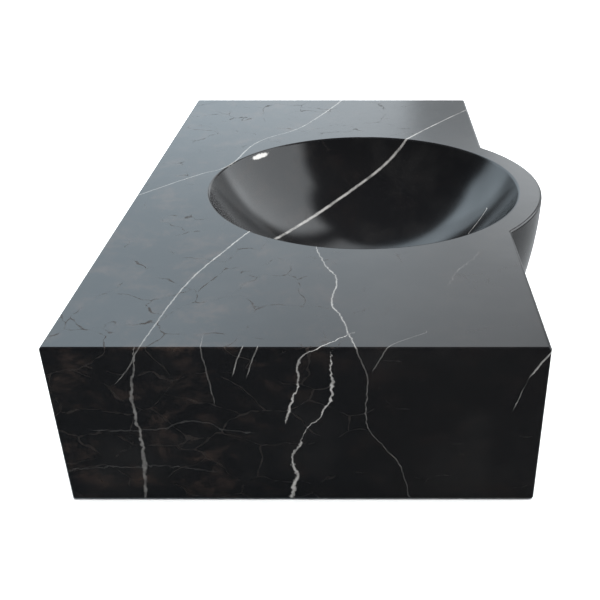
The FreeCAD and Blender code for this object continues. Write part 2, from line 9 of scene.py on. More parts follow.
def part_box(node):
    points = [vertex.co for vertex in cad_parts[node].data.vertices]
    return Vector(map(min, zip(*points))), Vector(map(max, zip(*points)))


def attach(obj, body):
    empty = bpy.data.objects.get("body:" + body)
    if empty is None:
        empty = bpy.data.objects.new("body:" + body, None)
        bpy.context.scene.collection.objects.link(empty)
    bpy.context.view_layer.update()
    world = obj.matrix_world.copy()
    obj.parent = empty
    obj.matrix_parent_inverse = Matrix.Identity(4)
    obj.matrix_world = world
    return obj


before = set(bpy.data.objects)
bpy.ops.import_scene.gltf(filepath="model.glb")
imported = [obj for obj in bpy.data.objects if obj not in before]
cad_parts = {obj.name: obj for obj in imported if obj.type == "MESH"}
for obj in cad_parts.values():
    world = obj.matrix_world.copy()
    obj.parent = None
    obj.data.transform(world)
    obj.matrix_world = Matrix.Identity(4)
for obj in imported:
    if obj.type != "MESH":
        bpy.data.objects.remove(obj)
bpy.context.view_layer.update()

# ---------------------------------------------------------------------------------------------------
# The stone: one block of polished black marble, hollowed from below, with its bowl and belly carved in.
# White calcite veins run through the whole block as thin leaning sheets, so each shows as one line over
# every face that it crosses. Rust-brown clouds and hairline cracks lie between them.
MM = 1000.0
STONE_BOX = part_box("basin_body")
DECK = STONE_BOX[1][2] * MM
END = STONE_BOX[0][0] * MM


def finish(name, roughness, metallic=0.0, colour=(0.5, 0.5, 0.5)):
    """A new node material with its glossy shader, whose plain numbers sit on its own sockets."""
    material = bpy.data.materials.new(name)
    material.use_nodes = True
    shader = material.node_tree.nodes["Principled BSDF"]
    shader.inputs["Base Color"].default_value = (*colour, 1.0)
    shader.inputs["Roughness"].default_value = roughness
    shader.inputs["Metallic"].default_value = metallic
    return material, material.node_tree, shader


def add(tree, kind, inputs=(), **settings):
    """A shader node with its settings, and its inputs given as {socket: number, colour or other socket}."""
    node = tree.nodes.new("ShaderNode" + kind)
    for key, setting in settings.items():
        setattr(node, key, setting)
    for socket, source in dict(inputs).items():
        if isinstance(source, bpy.types.NodeSocket):
            tree.links.new(source, node.inputs[socket])
        else:
            node.inputs[socket].default_value = source
    return node


def calc(tree, operation, *sources):
    """One Math node, and its result."""
    return add(tree, "Math", dict(enumerate(sources)), operation=operation).outputs[0]


def ease(tree, value, low, high, at_low=0.0, at_high=1.0):
    """A smooth step from at_low to at_high as value goes from low to high."""
    ends = {"From Min": low, "From Max": high, "To Min": at_low, "To Max": at_high}
    node = add(tree, "MapRange", {"Value": value, **ends}, interpolation_type="SMOOTHSTEP")
    return node.outputs[0]


def within(tree, value, low, high, soft):
    """1 between low and high, falling to 0 over soft beyond them."""
    rise = ease(tree, value, low - soft, low)
    return calc(tree, "MULTIPLY", rise, ease(tree, value, high, high + soft, 1.0, 0.0))


def where(tree):
    """The place on the piece in millimetres, as a vector and as its x, y and z."""
    metres = add(tree, "TexCoord").outputs["Object"]
    place = add(tree, "VectorMath", {0: metres, 1: (MM, MM, MM)}, operation="MULTIPLY").outputs[0]
    return place, *add(tree, "SeparateXYZ", {0: place}).outputs


def noise(tree, place, scale, detail=2.0, roughness=0.5, shift=0.0):
    """Noise around zero, from -0.5 to 0.5, at a scale in cycles per millimetre. Shift picks another part of
    the noise, so that two patterns don't follow each other."""
    at = add(tree, "VectorMath", {0: place, 1: (shift, shift, shift)}, operation="ADD").outputs[0]
    inputs = {"Vector": at, "Scale": scale, "Detail": detail, "Roughness": roughness}
    return calc(tree, "SUBTRACT", add(tree, "TexNoise", inputs).outputs[0], 0.5)


def mix(tree, share, low, high):
    """A colour mixed from low to high by share."""
    node = add(tree, "Mix", {0: share}, data_type="RGBA")
    for socket, source in ((6, low), (7, high)):
        if isinstance(source, bpy.types.NodeSocket):
            tree.links.new(source, node.inputs[socket])
        else:
            node.inputs[socket].default_value = (*source, 1.0)
    return node.outputs[2]


def surface(tree, shader, tone, roughness, height, rise):
    """Link a finish's colour, roughness and relief, where rise is the relief's depth in metres."""
    tree.links.new(tone, shader.inputs["Base Color"])
    tree.links.new(roughness, shader.inputs["Roughness"])
    bump = add(tree, "Bump", {"Height": height, "Distance": rise})
    tree.links.new(bump.outputs[0], shader.inputs["Normal"])


def dress(material, *nodes):
    """Put a material on CAD nodes."""
    for node in nodes:
        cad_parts[node].material_slots[0].material = material


def course(tree, value, knots):
    """A smooth curve through (value, result) knots, level beyond its two ends."""
    places = [knot[0] for knot in knots]
    results = [knot[1] for knot in knots]
    low, high = places[0], places[-1]
    least, span = min(results), max(max(results) - min(results), 1e-6)
    share = add(tree, "MapRange", {"Value": value, "From Min": low, "From Max": high}).outputs[0]
    node = add(tree, "FloatCurve", {"Value": share})
    points = node.mapping.curves[0].points
    for index, (place, result) in enumerate(knots):
        spot = ((place - low) / (high - low), (result - least) / span)
        if index in (0, len(knots) - 1):
            points[0 if index == 0 else -1].location = spot
        else:
            points.new(*spot)
    for point in points:
        point.handle_type = "AUTO_CLAMPED"
    node.mapping.update()
    return calc(tree, "MULTIPLY_ADD", node.outputs[0], span, least)


# Each vein is a sheet y = run(x) + lean(depth below the deck), in millimetres. Its width is "width_x" along
# x times "width_z" by depth. "white" is how white it is along x, "ragged" how far its edge wanders, and
# "end_depth" how far down it is seen on the near end.
VEINS = {
    "great": {
        "run": [(-350, 144), (-240, 126), (-170, 102), (-130, 86), (175, -86), (350, -205)],
        "lean": [(0, 0), (16, 9), (30, 20), (60, 53), (150, 150)],
        "width_x": [(-350, 1.0), (-240, 1.3), (-130, 1.7), (0, 4.2), (120, 4.8), (175, 2.6), (306, 1.4)],
        "width_z": [(0, 1), (150, 1)],
        "white": [(-345, 0.15), (-200, 0.24), (-100, 0.28), (0, 0.3), (180, 0.32), (300, 0.3)],
        "end_depth": 36, "ragged": 1.4,
    },
    "far": {
        "run": [(-35, 220), (35, 160), (55, 138), (150, 110), (210, 62), (260, 40), (350, 8)],
        "lean": [(0, 0), (60, -30), (150, -52)],
        "width_x": [(-60, 0), (-35, 1.2), (90, 1.6), (180, 1.2), (350, 1.6)],
        "width_z": [(0, 1), (40, 0.8), (110, 0.3)],
        "white": [(-60, 0.22), (350, 0.3)], "ragged": 1.6,
    },
    "middle": {
        "run": [(-350, -21), (-300, -8), (-270, 0), (-245, -3), (-205, 9), (-160, 21)],
        "lean": [(0, 0), (36, -9), (60, -7), (95, -23), (112, -35), (150, -45)],
        "width_x": [(-350, 1.0), (-250, 1.3), (-175, 1.1), (-150, 0)],
        "width_z": [(0, 1), (40, 0.8), (90, 0.5), (150, 0.4)],
        "white": [(-350, 0.12), (-340, 0.24), (-160, 0.2)], "ragged": 3.0,
    },
    "branch": {
        "run": [(-350, 9), (-330, -15), (-320, -25)],
        "lean": [(0, 0), (14, 14), (31, 15), (53, 22), (72, 27)],
        "width_x": [(-350, 1.5), (-330, 0.9), (-324, 0)],
        "width_z": [(0, 0.8), (20, 1.1), (40, 0.7), (60, 1.2), (74, 0), (150, 0)],
        "white": [(-350, 0.42), (-324, 0.3)], "ragged": 4.0,
    },
    "fork": {
        "run": [(-350, 0), (-340, 0)],
        "lean": [(10, -3), (40, -2), (60, 6), (77, 20), (92, 26), (109, 33), (120, 30), (150, 35)],
        "width_x": [(-350, 1.4), (-345, 0)],
        "width_z": [
            (0, 0), (12, 0.4), (40, 1), (70, 0.5), (84, 0.3), (94, 1.6), (112, 1.2), (126, 2.2), (150, 1.8),
        ],
        "white": [(-350, 0.45), (-345, 0.45)], "ragged": 6.0,
    },
    "stout": {
        "run": [(-350, 0), (-340, 0)],
        "lean": [(4, 148), (67, 155), (80, 153), (150, 158)],
        "width_x": [(-350, 2.4), (-345, 0)],
        "width_z": [(0, 0.2), (20, 0.6), (60, 0.9), (80, 0.6), (110, 1), (150, 0.8)],
        "white": [(-350, 0.17), (-345, 0.17)], "ragged": 4.0,
    },
    "thread": {
        "run": [(-350, 97), (-300, 100)],
        "lean": [(0, 0), (24, -3), (55, -7)],
        "width_x": [(-350, 0.8), (-340, 0.5), (-325, 0)],
        "width_z": [(0, 1), (40, 1), (62, 0), (150, 0)],
        "white": [(-350, 0.09), (-325, 0.14)], "ragged": 1.8,
    },
    "twin_left": {
        "run": [(-350, 66), (-330, 60)],
        "lean": [(0, 0), (26, 9)],
        "width_x": [(-350, 0.9), (-345, 0)],
        "width_z": [(0, 1), (20, 0.8), (30, 0), (150, 0)],
        "white": [(-350, 0.26), (-345, 0.26)], "ragged": 1.6,
    },
    "twin_right": {
        "run": [(-350, 54), (-330, 50)],
        "lean": [(0, 0), (12, 5), (30, 11)],
        "width_x": [(-350, 0.8), (-345, 0)],
        "width_z": [(0, 1), (20, 0.8), (34, 0), (150, 0)],
        "white": [(-350, 0.2), (-345, 0.2)], "ragged": 1.6,
    },
    "corner": {
        "run": [(-350, -172), (-300, -190)],
        "lean": [(0, 0), (25, 16), (60, 28)],
        "width_x": [(-350, 1.4), (-335, 0)],
        "width_z": [(0, 1), (18, 1), (30, 0.1), (46, 0.3), (64, 0), (150, 0)],
        "white": [(-350, 0.3), (-335, 0.25)], "ragged": 2.0,
    },
    "spark": {
        "run": [(0, -145), (20, -166)],
        "lean": [(0, 0), (150, 0)],
        "width_x": [(-4, 0), (5, 1.4), (16, 1.4), (24, 0)],
        "width_z": [(0, 1), (150, 1)],
        "white": [(-4, 0.4), (24, 0.4)], "ragged": 1.5,
    },
    "hair": {
        "run": [(-350, -44), (-345, -48), (-326, -76)],
        "lean": [(0, 0), (20, 10)],
        "width_x": [(-350, 0.8), (-330, 0.8), (-322, 0)],
        "width_z": [(0, 1), (16, 0.9), (26, 0), (150, 0)],
        "white": [(-350, 0.12), (-322, 0.08)], "ragged": 2.0,
    },
    "wisp": {
        "run": [(-290, -90), (-232, -104), (-182, -132)],
        "lean": [(0, 0), (150, -60)],
        "width_x": [(-250, 0), (-232, 0.8), (-190, 0.8), (-176, 0)],
        "width_z": [(0, 1), (150, 0)],
        "white": [(-250, 0.05), (-176, 0.05)], "ragged": 5.0,
    },
    "end_high": {
        "run": [(200, -60), (350, -92)],
        "lean": [(0, 0), (50, 22), (90, 16), (150, 52)],
        "width_x": [(338, 0), (350, 2.0)],
        "width_z": [(0, 0.3), (20, 1), (90, 0.7), (150, 1)],
        "white": [(338, 0.4), (350, 0.45)], "ragged": 3.0,
    },
    "end_low": {
        "run": [(200, 120), (350, 128)],
        "lean": [(0, 0), (40, -16), (70, -14), (110, -40), (150, -48)],
        "width_x": [(338, 0), (350, 1.4)],
        "width_z": [(0, 0), (10, 0.8), (150, 1)],
        "white": [(338, 0.3), (350, 0.3)], "ragged": 3.4,
    },
}
# These run the other way, x = run(y) + lean(depth), through the front with its belly and the back.
CROSS_VEINS = {
    "apron": {
        "run": [(-225, -238), (-140, -214)],
        "lean": [(0, 0), (45, 16), (80, 12), (150, 44)],
        "width_x": [(-225, 1.8), (-172, 1.6), (-166, 0)],
        "width_z": [(0, 0), (8, 0.9), (90, 1), (150, 0.5)],
        "white": [(-225, 0.4), (-160, 0.4)], "ragged": 3.4,
    },
    "belly": {
        "run": [(-225, 46), (-165, 70)],
        "lean": [(0, 0), (30, -14), (75, -12), (110, -34), (150, -46)],
        "width_x": [(-225, 2.2), (-195, 1.8), (-180, 0)],
        "width_z": [(0, 0), (6, 0.8), (60, 1), (150, 0.8)],
        "white": [(-225, 0.45), (-160, 0.45)], "ragged": 3.2,
    },
    "back_left": {
        "run": [(190, -140), (225, -150)],
        "lean": [(0, 0), (60, 22), (110, 18), (150, 36)],
        "width_x": [(200, 0), (212, 1.6), (225, 2.0)],
        "width_z": [(0, 0), (8, 1), (150, 0.8)],
        "white": [(200, 0.35), (225, 0.35)], "ragged": 3.6,
    },
    "back_right": {
        "run": [(190, 120), (225, 132)],
        "lean": [(0, 0), (50, -20), (100, -34), (150, -70)],
        "width_x": [(200, 0), (212, 1.4), (225, 1.6)],
        "width_z": [(0, 0), (8, 1), (150, 1)],
        "white": [(200, 0.3), (225, 0.3)], "ragged": 3.6,
    },
}
# These lie nearly level in the near end, depth = run(y) + lean(in from the end), as faint brown-grey seams.
LEVEL_VEINS = {
    "seam_high": {
        "run": [(60, 79), (85, 76), (108, 68), (136, 76), (180, 78), (200, 72)],
        "lean": [(0, 0), (10, 2)],
        "width_x": [(56, 0), (75, 0.9), (130, 1.1), (180, 0.8), (200, 0)],
        "width_z": [(0, 1), (6, 0)],
        "white": [(60, 0.035), (200, 0.035)], "ragged": 4.0,
    },
    "seam_low": {
        "run": [(95, 120), (150, 114), (220, 118)],
        "lean": [(0, 0), (10, 2)],
        "width_x": [(90, 0), (110, 0.8), (205, 1.0), (220, 0.5)],
        "width_z": [(0, 1), (6, 0)],
        "white": [(95, 0.035), (220, 0.035)], "ragged": 5.0,
    },
}


def vein(tree, x, y, depth, wander, run, lean, width_x, width_z, white, ragged, end_depth=None):
    """How much of a vein is here: its whiteness on its sheet, and 0 off it."""
    sheet = calc(tree, "ADD", course(tree, x, run), course(tree, depth, lean))
    off = calc(tree, "SUBTRACT", y, sheet)
    off = calc(tree, "ABSOLUTE", calc(tree, "MULTIPLY_ADD", wander, ragged, off))
    width = calc(tree, "MULTIPLY", course(tree, x, width_x), course(tree, depth, width_z))
    if end_depth:
        on_end = ease(tree, x, END + 2, END + 5, 1.0, 0.0)
        fade = calc(tree, "MULTIPLY", on_end, ease(tree, depth, end_depth - 12, end_depth))
        width = calc(tree, "MULTIPLY", width, calc(tree, "SUBTRACT", 1.0, fade))
    # White through the middle, soft over the outer part of its width.
    inner = calc(tree, "MULTIPLY", width, 0.2)
    outer = calc(tree, "MULTIPLY_ADD", width, 0.75, 0.1)
    there = calc(tree, "MULTIPLY", ease(tree, width, 0.02, 0.5), course(tree, x, white))
    return calc(tree, "MULTIPLY", ease(tree, off, inner, outer, 1.0, 0.0), there)


POLISH = 0.15
RELIEF = 0.0005
# The calcite's colour, which the painted highlight under the bowl's rim also takes.
CALCITE_AND_PAINTED_HIGHLIGHT = (0.72, 0.7, 0.67)
marble, tree, shader = finish("black_marble", POLISH)
place, x, y, z = where(tree)
depth = calc(tree, "SUBTRACT", DECK, z)
coarse = noise(tree, place, 0.03, 2.0, 0.6)
fine = noise(tree, place, 0.16, 3.0, 0.65, 40.0)
wander = calc(tree, "MULTIPLY_ADD", fine, 1.5, coarse)
white = 0.0
for values in VEINS.values():
    white = calc(tree, "MAXIMUM", white, vein(tree, x, y, depth, wander, **values))
for values in CROSS_VEINS.values():
    white = calc(tree, "MAXIMUM", white, vein(tree, y, x, depth, wander, **values))
from_end = calc(tree, "SUBTRACT", x, END)
for values in LEVEL_VEINS.values():
    white = calc(tree, "MAXIMUM", white, vein(tree, y, depth, from_end, wander, **values))
# The calcite is thinner in places, which dims the veins in patches.
worn = ease(tree, noise(tree, place, 0.09, 3.0, 0.7, 90.0), -0.22, 0.12, 0.4, 1.0)
white = calc(tree, "MULTIPLY", white, worn)

# A painted highlight: a small white spot painted into the stone's colour just under the bowl's rim, drawn
# out along it, where a lamp's glint on the polished edge would shine.
PAINTED_HIGHLIGHT = (108, 102, 146)
PAINTED_HIGHLIGHT_TURN = math.radians(37)
PAINTED_HIGHLIGHT_HALF = (16, 6, 3)
painted_highlight_map = {"Vector": place, "Location": PAINTED_HIGHLIGHT, "Rotation": (0, 0, -PAINTED_HIGHLIGHT_TURN), "Scale": PAINTED_HIGHLIGHT_HALF}
painted_highlight_place = add(tree, "Mapping", painted_highlight_map, vector_type="TEXTURE").outputs[0]
reach = add(tree, "VectorMath", {0: painted_highlight_place}, operation="LENGTH").outputs["Value"]
reach = calc(tree, "MULTIPLY_ADD", fine, 0.9, reach)
# The painted highlight is added to the veins' whiteness, so it takes the calcite colour and the veins'
# softer polish.
white = calc(tree, "MAXIMUM", white, ease(tree, reach, 0.6, 1.0, 0.7, 0.0))

# Healed hairline cracks: the walls between warped flattened cells, kept only in some clouds of the stone
# and nearly gone at the bowl's surface, which was cut deep inside the block.
SPHERE = (0, -25, 244.5)
BOWL_RADIUS = 194.5
UNDER_BOWL = (BOWL_RADIUS + 1, BOWL_RADIUS + 25)
SWIRL = (50, 50, 50)
FLATTEN = (1.0, 1.0, 1.7)
swirls = {"Vector": place, "Scale": 0.014, "Detail": 3.0, "Roughness": 0.55}
warp = add(tree, "TexNoise", swirls).outputs["Color"]
warped = add(tree, "VectorMath", {0: warp, 1: SWIRL, 2: place}, operation="MULTIPLY_ADD").outputs[0]
warped = add(tree, "VectorMath", {0: warped, 1: FLATTEN}, operation="MULTIPLY").outputs[0]
cell_walls = {"Vector": warped, "Scale": 0.02}
cells = add(tree, "TexVoronoi", cell_walls, feature="DISTANCE_TO_EDGE").outputs["Distance"]
cells = calc(tree, "MULTIPLY_ADD", fine, 0.06, cells)
cracked = calc(tree, "MULTIPLY", ease(tree, x, -280, -120, 0.1, 0.0), ease(tree, y, -40, 40))
patchy = calc(tree, "ADD", noise(tree, place, 0.022, 3.0, 0.75, 150.0), cracked)
patchy = ease(tree, patchy, -0.02, 0.16)
patchy = calc(tree, "MULTIPLY", patchy, ease(tree, y, -120, 60, 0.35, 1.0))
from_bowl = add(tree, "VectorMath", {0: place, 1: SPHERE}, operation="DISTANCE").outputs["Value"]
patchy = calc(tree, "MULTIPLY", patchy, ease(tree, from_bowl, *UNDER_BOWL, 0.25, 1.0))
crack = calc(tree, "MULTIPLY", ease(tree, cells, 0.003, 0.015, 1.0, 0.0), patchy)

# The ground colour: near-black clouds, rust where iron has stained it, and brown crack fillings.
cloud = ease(tree, noise(tree, place, 0.012, 4.0, 0.62, 10.0), -0.06, 0.2)
rust = ease(tree, noise(tree, warped, 0.028, 5.0, 0.75, 70.0), -0.02, 0.22)
rust = calc(tree, "MULTIPLY", rust, ease(tree, y, -60, 120, 0.15, 0.8))
rust = calc(tree, "MULTIPLY", rust, ease(tree, from_bowl, *UNDER_BOWL, 0.3, 1.0))
ground = mix(tree, cloud, (0.0045, 0.0045, 0.005), (0.0085, 0.0083, 0.0085))
ground = mix(tree, rust, ground, (0.027, 0.0185, 0.015))
ground = mix(tree, calc(tree, "MULTIPLY", crack, 0.6), ground, (0.024, 0.0175, 0.0145))

# The hollow under the deck is left as it was milled: dull and scored, not polished. So are the base and
# the sides of the two notches in the back wall.
WALL = 29
HOLLOW_X = STONE_BOX[1][0] * MM - WALL
HOLLOW_Y = (-169, 191)
CEILING = 120.5
SHELL = 205
facing = add(tree, "SeparateXYZ", {0: add(tree, "NewGeometry").outputs["Normal"]}).outputs
to_front = calc(tree, "MULTIPLY", calc(tree, "SUBTRACT", y, SPHERE[1]), facing[1])
inward = ease(tree, calc(tree, "MULTIPLY_ADD", x, facing[0], to_front), -5, -1, 1.0, 0.0)
inside = calc(tree, "MULTIPLY", within(tree, x, -HOLLOW_X, HOLLOW_X, 1), within(tree, y, *HOLLOW_Y, 1))
hollow = calc(tree, "MAXIMUM", inside, inward)
hollow = calc(tree, "MULTIPLY", hollow, ease(tree, from_bowl, SHELL, SHELL + 1))
along_wall = ease(tree, calc(tree, "ABSOLUTE", facing[1]), 0.4, 0.6, 1.0, 0.0)
in_back_wall = ease(tree, y, HOLLOW_Y[1] - 2, HOLLOW_Y[1] - 1)
notch = calc(tree, "MULTIPLY", within(tree, x, -HOLLOW_X, HOLLOW_X, 1), in_back_wall)
raw = calc(tree, "MAXIMUM", hollow, calc(tree, "MULTIPLY", notch, along_wall))
raw = calc(tree, "MULTIPLY", raw, ease(tree, z, CEILING, CEILING + 1, 1.0, 0.0))
raw = calc(tree, "MAXIMUM", raw, ease(tree, facing[2], -0.9, -0.7, 1.0, 0.0))
score_inputs = {"Vector": place, "Scale": 0.12, "Distortion": 2.0, "Detail": 2.0}
score = add(tree, "TexWave", score_inputs).outputs["Fac"]
milled = mix(tree, score, (0.08, 0.08, 0.083), (0.12, 0.118, 0.116))
ground = mix(tree, raw, ground, milled)
# The veins' calcite colour, with the painted highlight's white, over the ground colour.
tone = mix(tree, white, ground, CALCITE_AND_PAINTED_HIGHLIGHT)

# The polish is even and deep, a little smeared, softer on the veins, and broken along the cracks.
smear = noise(tree, place, 0.01, 3.0, 0.6, 300.0)
gloss = calc(tree, "MULTIPLY_ADD", smear, 0.08, POLISH)
gloss = calc(tree, "MULTIPLY_ADD", white, 0.12, gloss)
gloss = calc(tree, "MULTIPLY_ADD", crack, 0.45, gloss)
gloss = calc(tree, "MULTIPLY_ADD", raw, 0.45, gloss)
polish = noise(tree, place, 0.05, 1.0, 0.5, 500.0)
scored = calc(tree, "MULTIPLY", score, raw)
height = calc(tree, "MULTIPLY_ADD", scored, 0.3, calc(tree, "MULTIPLY", polish, 0.12))
surface(tree, shader, tone, gloss, height, RELIEF)
dress(marble, "basin_body")

# ---------------------------------------------------------------------------------------------------
# The waste: a flanged tube of chrome-plated brass, turned and threaded, with a domed cap that covers the
# drain. The plate is bright, with a little lime haze and the fine rings that polishing leaves.
WASTE_BOX = np.array(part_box("waste_body")) * MM
WASTE_AXIS = tuple(WASTE_BOX.mean(axis=0)[:2].tolist())


def from_axis(tree, x, y, axis=WASTE_AXIS):
    """The distance in millimetres from an upright axis."""
    across = calc(tree, "SUBTRACT", x, axis[0])
    along = calc(tree, "SUBTRACT", y, axis[1])
    square = calc(tree, "MULTIPLY_ADD", across, across, calc(tree, "MULTIPLY", along, along))
    return calc(tree, "SQRT", square)


chrome, tree, shader = finish("chrome_plate", 0.08, 1.0)
place, x, y, z = where(tree)
lime = ease(tree, noise(tree, place, 0.2, 4.0, 0.7, 20.0), 0.0, 0.22)
ring = calc(tree, "SINE", calc(tree, "MULTIPLY", from_axis(tree, x, y), 14.0))
haze = noise(tree, place, 0.05, 3.0, 0.6, 60.0)
tone = mix(tree, lime, (0.78, 0.79, 0.8), (0.63, 0.635, 0.63))
gloss = calc(tree, "MULTIPLY_ADD", lime, 0.16, 0.12)
gloss = calc(tree, "MULTIPLY_ADD", haze, 0.06, gloss)
surface(tree, shader, tone, gloss, calc(tree, "MULTIPLY_ADD", lime, 0.4, ring), 0.000004)
dress(chrome, "waste_body", "plug_cap")


def put(name, points, faces, material, body, slot):
    """A new piece from its points in metres, with its faces turned outwards, riding on a body."""
    mesh = bpy.data.meshes.new(name)
    mesh.from_pydata(points.tolist(), [], faces.tolist())
    shape = bmesh.new()
    shape.from_mesh(mesh)
    bmesh.ops.remove_doubles(shape, verts=shape.verts, dist=1e-7)
    bmesh.ops.recalc_face_normals(shape, faces=shape.faces)
    shape.to_mesh(mesh)
    shape.free()
    mesh.shade_smooth()
    mesh.materials.append(material)
    piece = bpy.data.objects.new(name, mesh)
    bpy.context.scene.collection.objects.link(piece)
    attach(piece, body)


def tube(rings):
    """Points and faces of a closed skin over rings of points: four-sided faces join ring i to ring i + 1,
    and the first and last rings have shrunk to points."""
    count, around = rings.shape[:2]
    index = np.arange(count * around).reshape(count, around)
    beside = np.roll(index, -1, axis=1)
    faces = np.stack([index[:-1], beside[:-1], beside[1:], index[1:]], axis=-1)
    return rings.reshape(-1, 3), faces.reshape(-1, 4)


# The tail's pipe thread: one V-shaped ridge wound up the tube below the runout groove, 11 turns an inch.
TAIL_RADIUS = 20.955
THREAD_PITCH = 25.4 / 11
THREAD_RISE = 0.4
THREAD_LOW = 3.0
THREAD_TURNS = 4


def thread(radius, pitch, rise, low, turns, axis, steps=72):
    """A ridge on a helix: height low + pitch * turn, and the radius plus a V-shaped profile that fades at
    both ends."""
    turn = np.linspace(0.0, turns, turns * steps + 1)
    size = np.clip(np.minimum(turn, turns - turn) * 4, 0.0, 1.0)[:, None]
    outward = radius - 0.1 + size * (rise + 0.1) * np.array([0.0, 0.35, 1.0, 0.35, 0.0, -0.3])
    upward = size * pitch * np.array([-0.45, -0.3, 0.0, 0.3, 0.45, 0.0])
    angle = turn[:, None] * 2 * np.pi
    ring_x = axis[0] + outward * np.cos(angle)
    ring_y = axis[1] + outward * np.sin(angle)
    ring_z = low + pitch * turn[:, None] + upward
    return np.stack([ring_x, ring_y, ring_z], axis=-1) / MM


points, faces = tube(thread(TAIL_RADIUS, THREAD_PITCH, THREAD_RISE, THREAD_LOW, THREAD_TURNS, WASTE_AXIS))
put("tail_thread", points, faces, chrome, "basin", "chrome")

# ---------------------------------------------------------------------------------------------------
# The turned brass: the hexagon back nut under the stone, the small nut that holds the latch, and the
# threaded inserts glued up into the stone. It is left bare, so it has dulled and gone brown in places.
brass, tree, shader = finish("turned_brass", 0.3, 1.0)
place, x, y, z = where(tree)
tarnish = ease(tree, noise(tree, place, 0.12, 4.0, 0.65, 30.0), -0.08, 0.2)
lathe = calc(tree, "SINE", calc(tree, "MULTIPLY", z, 16.0))
facing_cut = calc(tree, "SINE", calc(tree, "MULTIPLY", from_axis(tree, x, y), 12.0))
tone = mix(tree, tarnish, (0.72, 0.53, 0.25), (0.4, 0.27, 0.13))
gloss = calc(tree, "MULTIPLY_ADD", tarnish, 0.22, 0.24)
surface(tree, shader, tone, gloss, calc(tree, "ADD", lathe, facing_cut), 0.00001)
dress(brass, "back_nut", "cartridge_nut", "stone_inserts")

# ---------------------------------------------------------------------------------------------------
# The seals: moulded black rubber rings under the flange, under the stone and on the plug, and the four
# pads that the stone rests on. The rubber is matt, with a fine grain and a pale dusty bloom.
rubber, tree, shader = finish("black_rubber", 0.75)
shader.inputs["Specular IOR Level"].default_value = 0.35
place = where(tree)[0]
bloom = ease(tree, noise(tree, place, 0.08, 5.0, 0.7, 15.0), -0.05, 0.3)
grain = noise(tree, place, 1.4, 2.0, 0.6, 45.0)
tone = mix(tree, bloom, (0.016, 0.016, 0.017), (0.05, 0.05, 0.05))
gloss = calc(tree, "MULTIPLY_ADD", bloom, 0.15, 0.66)
surface(tree, shader, tone, gloss, grain, 0.00008)
dress(rubber, "flange_seal", "cone_washer", "plug_seal", "bracket_pads")

# ---------------------------------------------------------------------------------------------------
# The white plastic: the slip washer that lets the nut turn, and the latch's housing and cap. It is
# moulded acetal, slightly warm and waxy, with faint flow marks.
white_plastic, tree, shader = finish("white_plastic", 0.4)
shader.inputs["IOR"].default_value = 1.48
place = where(tree)[0]
flow = noise(tree, place, 0.09, 3.0, 0.6, 25.0)
tone = mix(tree, ease(tree, flow, -0.2, 0.2), (0.76, 0.75, 0.71), (0.68, 0.665, 0.62))
gloss = calc(tree, "MULTIPLY_ADD", flow, 0.2, 0.38)
surface(tree, shader, tone, gloss, noise(tree, place, 0.9, 2.0, 0.5, 75.0), 0.00004)
dress(white_plastic, "slip_washer", "cartridge_body", "cartridge_cap")

# ---------------------------------------------------------------------------------------------------
# The latch's rotor: a small cam ring of grey glass-filled plastic that turns inside the housing. Short
# glass fibres give it a speckle and a dull, slightly rough skin.
grey_plastic, tree, shader = finish("grey_plastic", 0.5)
place = where(tree)[0]
fibres = ease(tree, noise(tree, place, 1.1, 3.0, 0.7, 35.0), 0.0, 0.22)
tone = mix(tree, fibres, (0.2, 0.205, 0.215), (0.32, 0.325, 0.33))
gloss = calc(tree, "MULTIPLY_ADD", fibres, 0.15, 0.45)
surface(tree, shader, tone, gloss, fibres, 0.00003)
dress(grey_plastic, "latch_rotor")

# ---------------------------------------------------------------------------------------------------
# The steel: the plug's stem, the latch's spring, and the bolts and washers that hold the stone down on
# its brackets. It is drawn stainless bar and wire, with long fine lines and a few duller patches.
steel, tree, shader = finish("drawn_steel", 0.3, 1.0)
place = where(tree)[0]
stretch = add(tree, "VectorMath", {0: place, 1: (6, 6, 0.3)}, operation="MULTIPLY").outputs[0]
drawn = noise(tree, stretch, 0.6, 2.0, 0.6, 12.0)
dull = ease(tree, noise(tree, place, 0.15, 4.0, 0.6, 55.0), -0.05, 0.25)
tone = mix(tree, dull, (0.6, 0.595, 0.585), (0.45, 0.445, 0.44))
gloss = calc(tree, "MULTIPLY_ADD", dull, 0.18, 0.26)
surface(tree, shader, tone, gloss, drawn, 0.00003)
dress(steel, "plug_stem", "cartridge_spring", "retaining_bolts", "retaining_washers")

# ---------------------------------------------------------------------------------------------------
# The brackets: each is a steel wall plate with a rectangular hollow arm and a gusset, welded together and
# powder-coated black. The coat has an orange-peel skin, a faint dusty bloom, and edges rubbed shiny.
paint, tree, shader = finish("powder_coat", 0.45)
place, x, y, z = where(tree)
peel = noise(tree, place, 0.45, 2.0, 0.5, 18.0)
dust = ease(tree, noise(tree, place, 0.03, 4.0, 0.65, 66.0), -0.05, 0.25)
BRACKET_BOX = np.array(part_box("right_bracket")) * MM
PLATE_THICKNESS = 6.0
ARM_HALF = (15.0, 25.0)
ARM_MIDDLE = float(BRACKET_BOX[:, 0].mean())
ARM_TOP = float(BRACKET_BOX[1, 2])
ARM_LEVEL = ARM_TOP - ARM_HALF[1]
PLATE_FACE = float(BRACKET_BOX[1, 1]) - PLATE_THICKNESS
beside = calc(tree, "SUBTRACT", calc(tree, "ABSOLUTE", x), ARM_MIDDLE)
beside = ease(tree, calc(tree, "ABSOLUTE", beside), ARM_HALF[0] - 1.2, ARM_HALF[0] - 0.3)
above = calc(tree, "ABSOLUTE", calc(tree, "SUBTRACT", z, ARM_LEVEL))
above = ease(tree, above, ARM_HALF[1] - 1.2, ARM_HALF[1] - 0.3)
chip = ease(tree, noise(tree, place, 0.22, 4.0, 0.7, 88.0), -0.05, 0.15)
on_arm = ease(tree, y, PLATE_FACE - 1, PLATE_FACE, 1.0, 0.0)
